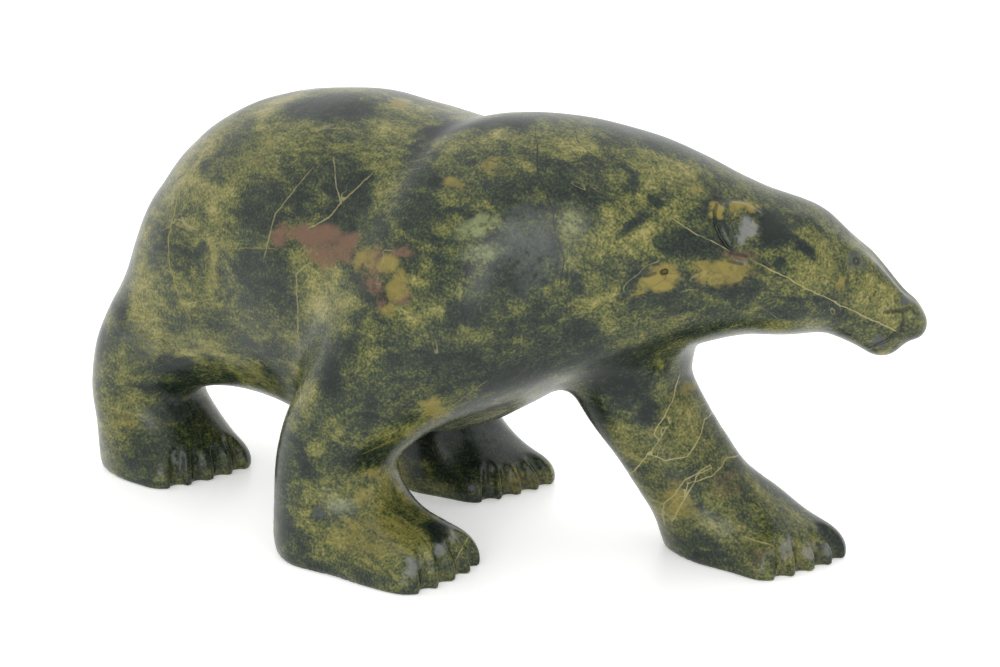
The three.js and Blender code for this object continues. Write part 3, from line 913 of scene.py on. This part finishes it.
# Clouds of other colours, among them a painted highlight and painted haze: x, y, half across, half up,
# tilt, strength.
OCHRES = [
    (258, 160, 12, 11, 0, 0.5),
    (272, 143, 10, 8, 0, 0.5),
    (398, 105, 16, 5, 0, 0.8),
    (490, 168, 15, 10, 0, 0.7),
    (454, 184, 9, 7, 0, 0.7),
    (362, 262, 14, 16, -20, 0.75),
    (388, 262, 13, 14, -30, 0.85),
    (398, 287, 17, 17, 0, 0.8),
    (391, 311, 10, 11, 0, 0.8),
    (640, 296, 12, 5, 20, 0.7),
    (664, 281, 24, 13, 8, 1.0),
    (722, 271, 34, 10, 0, 0.9),
    (716, 209, 7, 8, 20, 1.0),
    (742, 208, 20, 6, 0, 1.0),
    (700, 190, 14, 7, 20, 0.5),
    (841, 286, 12, 5, 20, 0.8),
    (884, 350, 7, 4, 0, 0.6),
    (271, 396, 13, 6, 0, 0.6),
    (437, 407, 11, 10, 0, 0.8),
    (372, 470, 9, 7, 0, 0.7),
    (362, 498, 9, 7, 0, 0.7),
    (365, 536, 55, 22, 0, 0.5),
    (688, 386, 12, 7, 0, 0.8),
    (678, 500, 14, 22, 0, 0.7),
    (695, 511, 10, 6, 0, 0.7),
    (122, 420, 22, 20, 0, 0.45),
    (215, 270, 9, 40, -4, 0.35),
    (522, 480, 32, 14, 0, 0.5),
    (800, 552, 34, 20, 0, 0.4),
]
REDS = [
    (282, 236, 14, 12, 0, 1.0),
    (316, 237, 44, 13, -3, 1.0),
    (345, 243, 20, 14, 0, 1.0),
    (328, 256, 32, 11, -4, 1.0),
    (372, 262, 20, 13, -30, 0.8),
    (400, 250, 13, 7, -20, 0.8),
    (372, 285, 15, 11, -30, 0.8),
    (405, 300, 10, 11, 0, 0.8),
    (382, 306, 8, 13, 0, 0.8),
    (743, 256, 20, 8, 0, 0.7),
    (725, 482, 23, 17, 0, 0.5),
    (757, 554, 12, 15, 0, 0.45),
]
SAGES = [
    (478, 229, 27, 12, 15, 0.65),
    (484, 253, 22, 9, 10, 0.55),
    (575, 222, 15, 23, 20, 0.5),
    (345, 505, 18, 7, 10, 0.6),
    (911, 312, 7, 6, 0, 0.6),
    # Painted highlight: a pale streak along the near brow ridge.
    (831, 230, 34, 4, -38, 0.45),
]
GREYS = [
    # Partly the stone's dark blue-grey, partly painted haze: the soft reflection across the shoulder.
    (527, 250, 34, 52, 0, 0.6),
    (856, 262, 14, 12, 0, 0.7),
    (907, 298, 8, 8, 0, 0.9),
    (920, 314, 4, 5, 0, 0.9),
    (879, 343, 10, 5, 0, 0.9),
    (320, 515, 9, 7, 0, 0.8),
    # Painted haze: the pale reflection on the flank just above the fold over the right hind thigh.
    (140, 345, 38, 26, 0, 0.5),
    (178, 412, 23, 17, 0, 0.5),
    (485, 435, 36, 15, 0, 0.6),
]
# Where the rasp's marks were left unpolished: in the ear and between the toes.
RASPED = [
    (744, 229, 9, 14, -15, 1.0),
    (743, 262, 16, 4, 5, 0.5),
    (415, 565, 8, 13, 0, 0.8),
    (437, 548, 7, 9, 0, 0.8),
    (456, 542, 6, 7, 0, 0.8),
    (786, 546, 9, 14, 0, 0.7),
    (809, 550, 8, 10, 0, 0.7),
    (829, 548, 6, 8, 0, 0.7),
    (172, 460, 4, 9, 0, 0.8),
    (766, 556, 5, 13, 0, 0.4),
]

# Veins and cracks as points in the picture, each with a strength.
PALE_VEINS = [
    (0.5, [(305, 178), (275, 215), (266, 250)]),
    (0.6, [(334, 165), (337, 190), (342, 203), (330, 218), (315, 226)]),
    (0.6, [(367, 180), (342, 203)]),
    (0.5, [(305, 268), (297, 275), (298, 330), (300, 400)]),
    (0.9, [(768, 268), (788, 277), (795, 283), (832, 300), (860, 314), (892, 328)]),
    (0.7, [(679, 223), (694, 233)]),
    (0.7, [(707, 239), (720, 246)]),
    (1.0, [(677, 383), (673, 400), (665, 413), (655, 430), (651, 443), (646, 455), (633, 470)]),
    (0.8, [(668, 425), (658, 440), (650, 452)]),
    (1.0, [(712, 412), (704, 418), (700, 437), (693, 447), (688, 455), (665, 459), (655, 455)]),
    (0.9, [(735, 455), (725, 457), (722, 464), (712, 475), (695, 480), (688, 490), (672, 520)]),
    (0.8, [(708, 465), (695, 473), (685, 478), (675, 493), (663, 503), (664, 518)]),
    (0.5, [(710, 402), (692, 405), (690, 415)]),
    (0.8, [(458, 555), (468, 535)]),
    (0.8, [(752, 537), (762, 540)]),
]
OCHRE_VEINS = [
    (0.9, [(177, 200), (168, 240), (170, 270), (180, 300), (187, 315)]),
    (0.5, [(225, 250), (248, 249), (270, 250)]),
    (0.5, [(370, 450), (400, 436), (440, 415), (480, 385)]),
    (0.6, [(579, 306), (592, 309), (607, 298)]),
]
CRACKS = [
    (1.0, [(536, 133), (537, 165), (540, 180), (547, 195), (553, 210), (555, 235)]),
    (1.0, [(555, 235), (560, 245), (564, 260), (562, 278)]),
    (0.8, [(575, 132), (578, 143), (590, 155), (597, 160)]),
    (0.8, [(548, 168), (561, 165), (575, 163)]),
]
CLOUD_MASKS = {"ochre": OCHRES, "red": REDS, "sage": SAGES, "grey": GREYS, "rasped": RASPED}
LINES = {"pale_vein": PALE_VEINS, "ochre_vein": OCHRE_VEINS, "crack": CRACKS}
# How far round a line its distance is kept, how far from a stretch's middle it is looked for, and
# how soon it fades.
VEIN_REACH = 6.0
VEIN_SEARCH = 40.0
VEIN_FADE = 1.4
# How far out of the finest cuts the painted shade in them begins to fade, and over how far.
CUT_SHADE_FROM = 0.1
CUT_SHADE_REACH = 0.4
# How far the clouds' edges are pushed, and over what size, with the offsets of the three noises.
WANDER = [(3.0, 9.0), (1.8, 3.6)]
APART = np.array([[0, 0, 0], [311, 0, 0], [0, 523, 0]])


def wandering(points):
    """Points pushed to and fro, so that the clouds' edges are ragged."""
    moved = points.copy()
    for reach, size in WANDER:
        for axis, offset in enumerate(APART):
            moved[:, axis] += reach * (2 * speckle(points + offset, size) - 1)
    return moved


def mask(points, rows):
    """The greatest share among clouds, each with its strength."""
    return np.max([row[-1] * share(points, cloud) for row, cloud in zip(rows, clouds(rows))], 0)


def line_fields(points, rows):
    """The signed distance from the nearest line, and how strong that line is there."""
    signed = np.full(len(points), VEIN_REACH)
    strength = np.zeros(len(points))
    nearest = np.full(len(points), VEIN_REACH)
    for level, pixels in rows:
        places = seen(pixels)
        for start, end in zip(places[:-1], places[1:]):
            along = end - start
            beside = unit(np.cross(along, SIGHT))
            from_middle = np.linalg.norm(points - (start + end) / 2, axis=1)
            near = np.flatnonzero(from_middle < VEIN_SEARCH)
            off = points[near] - start
            t = np.clip(off @ along / (along @ along), 0, 1)
            away = np.linalg.norm(off - np.outer(t, along), axis=1)
            closer = away < nearest[near]
            at = near[closer]
            nearest[at] = away[closer]
            signed[at] = off[closer] @ beside
            strength[at] = level * smooth(VEIN_FADE * (1 - away[closer] / VEIN_REACH))
    return signed, strength


def paint(mesh, points):
    """Writes the pattern that the picture shows onto the mesh."""
    moved = wandering(points)
    tone, known = np.zeros(len(points)), np.zeros(len(points))
    for row, cloud in zip(TONES, clouds([row[:5] for row in TONES])):
        there = share(moved, cloud)
        tone += row[6] * there * (row[5] - tone)
        known = np.maximum(known, there)
    fields = {"tone": tone, "known": known}
    for name, rows in CLOUD_MASKS.items():
        fields[name] = mask(moved, rows)
    cuts = [to_row(points, *row) for row in FINE_CUTS] + [to_ring(points, *ring) for ring in EYES]
    # Painted shade: darkest in the finest cuts and eye rings, fading just outside them.
    fields["cut_shade"] = smooth(1 - (np.min(cuts, 0) - CUT_SHADE_FROM) / CUT_SHADE_REACH)
    for name, rows in LINES.items():
        fields[name], fields[name + "_strength"] = line_fields(points, rows)
    for name, values in fields.items():
        attribute = mesh.attributes.new(name, "FLOAT", "POINT")
        attribute.data.foreach_set("value", values.astype(np.float32))


paint(figure.data, points)

# The stone's colours from the darkest tone to the lightest, with where each lies on the scale.
LOWEST_TONE, HIGHEST_TONE = -1.25, 1.45
STONE_COLOURS = [
    (0.00, (0.004, 0.008, 0.006)),
    (0.24, (0.012, 0.020, 0.013)),
    (0.42, (0.030, 0.041, 0.018)),
    (0.54, (0.060, 0.070, 0.020)),
    (0.66, (0.100, 0.105, 0.028)),
    (0.82, (0.153, 0.148, 0.044)),
    (1.00, (0.250, 0.220, 0.075)),
]
# The colours of the clouds, in the order in which they lie over each other, and of the lines. The sage and
# grey colours also carry a painted highlight and painted haze.
CLOUD_COLOURS = {
    "grey": (0.060, 0.070, 0.066),
    "sage": (0.195, 0.220, 0.105),
    "red": (0.125, 0.070, 0.042),
    "ochre": (0.200, 0.160, 0.034),
    "rasped": (0.165, 0.170, 0.155),
}
PALE_COLOUR = (0.290, 0.255, 0.110)
CRACK_COLOUR = (0.010, 0.012, 0.007)
LINE_COLOURS = {"crack": CRACK_COLOUR, "ochre_vein": CLOUD_COLOURS["ochre"], "pale_vein": PALE_COLOUR}
# The colour of the painted shade in the finest cuts, and how strongly it is laid on.
CUT_SHADE_COLOUR = (0.006, 0.007, 0.005)
CUT_SHADE_STRENGTH = 0.6

# The stone's grain leans, and its features are longer along it.
GRAIN_TURN = (0.0, 0.55, 0.0)
GRAIN_STRETCH = (0.45, 1.0, 1.0)
# Noises: size in millimetres, detail, height, and how far they are twisted.
LARGE = (55, 3, 5.0, 0.6)
MEDIUM = (13, 5, 3.0, 0.9)
SMALL = (4, 4, 2.3, 0.5)
FINE = (1.1, 2, 3.3)
CLOUD_EDGE = (6, 4, 2.4, 0.8)
CLOUD_GRAIN = (1.6, 2, 1.6)
LINE_WIDTH = (5, 3, 1.1)
LINE_WAVE = (9, 3, 2.2)
FREE_VEIN = (42, 3, 1.0, 0.7)
FREE_GAPS = (25, 2, 1.0)
BUMPS = [(2.2, 4, 1.0), (0.7, 2, 0.5)]
# How strongly the painted tones count, and the medium noise where the picture is known and beyond.
PAINT_STRENGTH = 1.25
MEDIUM_KNOWN, MEDIUM_MORE = 0.65, 0.45
# A cloud's raggedness, the steps of its edge, and how the small noise breaks its colour up.
CLOUD_RAGGED = 0.8
CLOUD_STEP = (0.1, 0.8)
CLOUD_BREAK, CLOUD_COVER = 0.5, 1.0
# Half the mean width of a line in millimetres, and the share of it that has the full colour.
LINE_HALF = 0.38
LINE_CORE = 0.25
# The veins of the unseen sides: how far each lot's noise is turned, its stretch, the steps of a
# vein's edge, of its gaps and of where the picture ends.
FREE_VEINS = [(0.0, PALE_COLOUR), (1.1, CRACK_COLOUR)]
FREE_STRETCH = (0.6, 1.0, 1.0)
FREE_STEP = (0.001, 0.006)
FREE_GAP_STEP = (0.0, 0.12)
UNKNOWN_STEP = (0.6, 1.4)
# The wax's roughness, how the small noise changes it, and how much duller the pitted band is.
WAX_ROUGHNESS, WAX_CHANGE, BAND_DULLNESS = 0.27, 0.03, 0.3
WAX_SPECULAR = 0.34
BUMP_STRENGTH, BUMP_DEPTH = 0.5, 0.00012
NOISE_ROUGHNESS = 0.6


def make_stone():
    material = bpy.data.materials.new("stone")
    material.use_nodes = True
    nodes, links = material.node_tree.nodes, material.node_tree.links
    shader = nodes["Principled BSDF"]

    def give(value, socket):
        if isinstance(value, bpy.types.NodeSocket):
            links.new(value, socket)
        else:
            socket.default_value = value

    def calc(operation, *values, clamp=False):
        node = nodes.new("ShaderNodeMath")
        node.operation = operation
        node.use_clamp = clamp
        for value, socket in zip(values, node.inputs):
            give(value, socket)
        return node.outputs[0]

    def total(*values):
        result = values[0]
        for value in values[1:]:
            result = calc("ADD", result, value)
        return result

    def field(name):
        node = nodes.new("ShaderNodeAttribute")
        node.attribute_name = name
        return node.outputs["Fac"]

    def noise(vector, size, detail, height, distortion=0.0):
        """Noise about zero, with features of the given size in millimetres."""
        node = nodes.new("ShaderNodeTexNoise")
        give(vector, node.inputs["Vector"])
        node.inputs["Scale"].default_value = 1000 / size
        node.inputs["Detail"].default_value = detail
        node.inputs["Roughness"].default_value = NOISE_ROUGHNESS
        node.inputs["Distortion"].default_value = distortion
        return calc("MULTIPLY_ADD", node.outputs["Fac"], height, -height / 2)

    def ease(value, low, high, kind="SMOOTHSTEP"):
        """A step from 0 at the value low to 1 at high."""
        node = nodes.new("ShaderNodeMapRange")
        node.interpolation_type = kind
        for name, entry in {"Value": value, "From Min": low, "From Max": high}.items():
            give(entry, node.inputs[name])
        return node.outputs["Result"]

    def mix(factor, first, second):
        """The second colour over the first."""
        node = nodes.new("ShaderNodeMix")
        node.data_type = "RGBA"
        give(factor, node.inputs["Factor"])
        for name, colour in {"A_Color": first, "B_Color": second}.items():
            socket = next(i for i in node.inputs if i.identifier == name)
            give(colour if isinstance(colour, bpy.types.NodeSocket) else (*colour, 1), socket)
        return next(o for o in node.outputs if o.identifier == "Result_Color")

    def mapped(vector, turn, scale):
        """Places turned and scaled, for a noise that leans and is stretched."""
        node = nodes.new("ShaderNodeMapping")
        give(vector, node.inputs["Vector"])
        node.inputs["Rotation"].default_value = turn
        node.inputs["Scale"].default_value = scale
        return node.outputs["Vector"]

    def ramp(value):
        """The stone's own colour for a tone."""
        node = nodes.new("ShaderNodeValToRGB")
        links.new(ease(value, LOWEST_TONE, HIGHEST_TONE, "LINEAR"), node.inputs["Fac"])
        steps = node.color_ramp.elements
        for at, _ in STONE_COLOURS[1:-1]:
            steps.new(at)
        for step, (at, colour) in zip(steps, STONE_COLOURS):
            step.position = at
            step.color = (*colour, 1)
        return node.outputs["Color"]

    place = nodes.new("ShaderNodeTexCoord").outputs["Object"]
    grain = mapped(place, GRAIN_TURN, GRAIN_STRETCH)
    small = noise(grain, *SMALL)
    unknown = calc("SUBTRACT", 1.0, field("known"))
    medium_share = calc("MULTIPLY_ADD", unknown, MEDIUM_MORE, MEDIUM_KNOWN)
    tone = total(
        calc("MULTIPLY", field("tone"), PAINT_STRENGTH),
        calc("MULTIPLY", unknown, noise(place, *LARGE)),
        calc("MULTIPLY", noise(grain, *MEDIUM), medium_share),
        small,
        noise(place, *FINE),
    )
    colour = ramp(tone)

    ragged = total(noise(grain, *CLOUD_EDGE), noise(place, *CLOUD_GRAIN))
    for name, cloud_colour in CLOUD_COLOURS.items():
        amount = field(name)
        edge = ease(calc("MULTIPLY_ADD", ragged, CLOUD_RAGGED, amount), *CLOUD_STEP)
        broken = calc("MULTIPLY_ADD", small, CLOUD_BREAK, CLOUD_COVER)
        cover = calc("MULTIPLY", calc("MULTIPLY", edge, amount), broken, clamp=True)
        colour = mix(cover, colour, cloud_colour)

    # Thin lines, whose width changes along them.
    half = total(noise(place, *LINE_WIDTH), LINE_HALF)
    core = calc("MULTIPLY", half, LINE_CORE)
    for name, line_colour in LINE_COLOURS.items():
        away = calc("ABSOLUTE", total(field(name), noise(place, *LINE_WAVE)))
        line = calc("SUBTRACT", 1.0, ease(away, core, half))
        colour = mix(calc("MULTIPLY", line, field(name + "_strength")), colour, line_colour)

    # Veins of the stone's own on the sides that the picture doesn't show.
    for turn, vein_colour in FREE_VEINS:
        swirl = noise(mapped(place, (turn, GRAIN_TURN[1], turn), FREE_STRETCH), *FREE_VEIN)
        line = calc("SUBTRACT", 1.0, ease(calc("ABSOLUTE", swirl), *FREE_STEP))
        stretches = ease(noise(place, *FREE_GAPS), *FREE_GAP_STEP)
        amount = calc("MULTIPLY", calc("MULTIPLY", line, stretches), ease(unknown, *UNKNOWN_STEP))
        colour = mix(amount, colour, vein_colour)
    # Painted shade in and near the finest cuts and eye rings.
    colour = mix(calc("MULTIPLY", field("cut_shade"), CUT_SHADE_STRENGTH), colour, CUT_SHADE_COLOUR)
    links.new(colour, shader.inputs["Base Color"])

    # Wax and polish, dull where the stone was left rough.
    waxed = calc("MULTIPLY_ADD", small, WAX_CHANGE, WAX_ROUGHNESS)
    dull = calc("MULTIPLY", field("red"), BAND_DULLNESS)
    links.new(total(dull, waxed), shader.inputs["Roughness"])
    shader.inputs["Specular IOR Level"].default_value = WAX_SPECULAR
    bump = nodes.new("ShaderNodeBump")
    bump.inputs["Strength"].default_value = BUMP_STRENGTH
    bump.inputs["Distance"].default_value = BUMP_DEPTH
    links.new(total(*(noise(place, *size) for size in BUMPS)), bump.inputs["Height"])
    links.new(bump.outputs["Normal"], shader.inputs["Normal"])
    return material


figure.data.materials.append(make_stone())
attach(figure, "root")
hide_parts("bear")


FLOOR_HALF = 6.0
FLOOR_SHADE = 0.85
FLOOR_ROUGHNESS = 0.35
FLOOR_GLOW = 0.36


def make_floor():
    """A pale table that glows a little, so that shadows on it stay faint."""
    mesh = bpy.data.meshes.new("floor")
    corners = [(FLOOR_HALF * x, FLOOR_HALF * y, 0) for x, y in ((-1, -1), (1, -1), (1, 1), (-1, 1))]
    mesh.from_pydata(corners, [], [(0, 1, 2, 3)])
    floor = bpy.data.objects.new("floor", mesh)
    bpy.context.scene.collection.objects.link(floor)
    white = bpy.data.materials.new("floor_white")
    white.use_nodes = True
    shader = white.node_tree.nodes["Principled BSDF"]
    shader.inputs["Base Color"].default_value = (FLOOR_SHADE, FLOOR_SHADE, FLOOR_SHADE, 1)
    shader.inputs["Roughness"].default_value = FLOOR_ROUGHNESS
    shader.inputs["Emission Color"].default_value = (1, 1, 1, 1)
    shader.inputs["Emission Strength"].default_value = FLOOR_GLOW
    mesh.materials.append(white)


make_floor()


# What the lights are turned to, in metres.
MIDDLE = (0.0, 0.0, 0.08)


def area_light(name, place, width, height, power):
    data = bpy.data.lights.new(name, "AREA")
    data.shape = "RECTANGLE"
    data.size, data.size_y = width, height
    data.energy = power
    light = bpy.data.objects.new(name, data)
    light.location = place
    light.rotation_euler = (Vector(MIDDLE) - Vector(place)).to_track_quat("-Z", "Y").to_euler()
    bpy.context.scene.collection.objects.link(light)


area_light("overhead", place=(-0.2, 0.2, 1.6), width=2.0, height=2.0, power=5)
area_light("tall_strip", place=(0.75, -1.45, 0.65), width=0.6, height=1.4, power=8)
area_light("back_bank", place=(-0.6, 1.7, 1.1), width=2.0, height=1.2, power=2)

WORLD_STRENGTH = 1.08


def make_world():
    """A white tent all round."""
    world = bpy.data.worlds.new("studio")
    world.use_nodes = True
    background = world.node_tree.nodes["Background"]
    background.inputs["Color"].default_value = (1, 1, 1, 1)
    background.inputs["Strength"].default_value = WORLD_STRENGTH
    bpy.context.scene.world = world
    bpy.context.scene.view_settings.view_transform = "Standard"


make_world()


def make_camera():
    data = bpy.data.cameras.new("camera")
    data.lens, data.sensor_width = LENS, SENSOR
    camera = bpy.data.objects.new("camera", data)
    place, aim = Vector(placed(EYE)), Vector(placed(AIM))
    camera.location = place
    camera.rotation_euler = (aim - place).to_track_quat("-Z", "Y").to_euler()
    bpy.context.scene.collection.objects.link(camera)
    bpy.context.scene.camera = camera


make_camera()
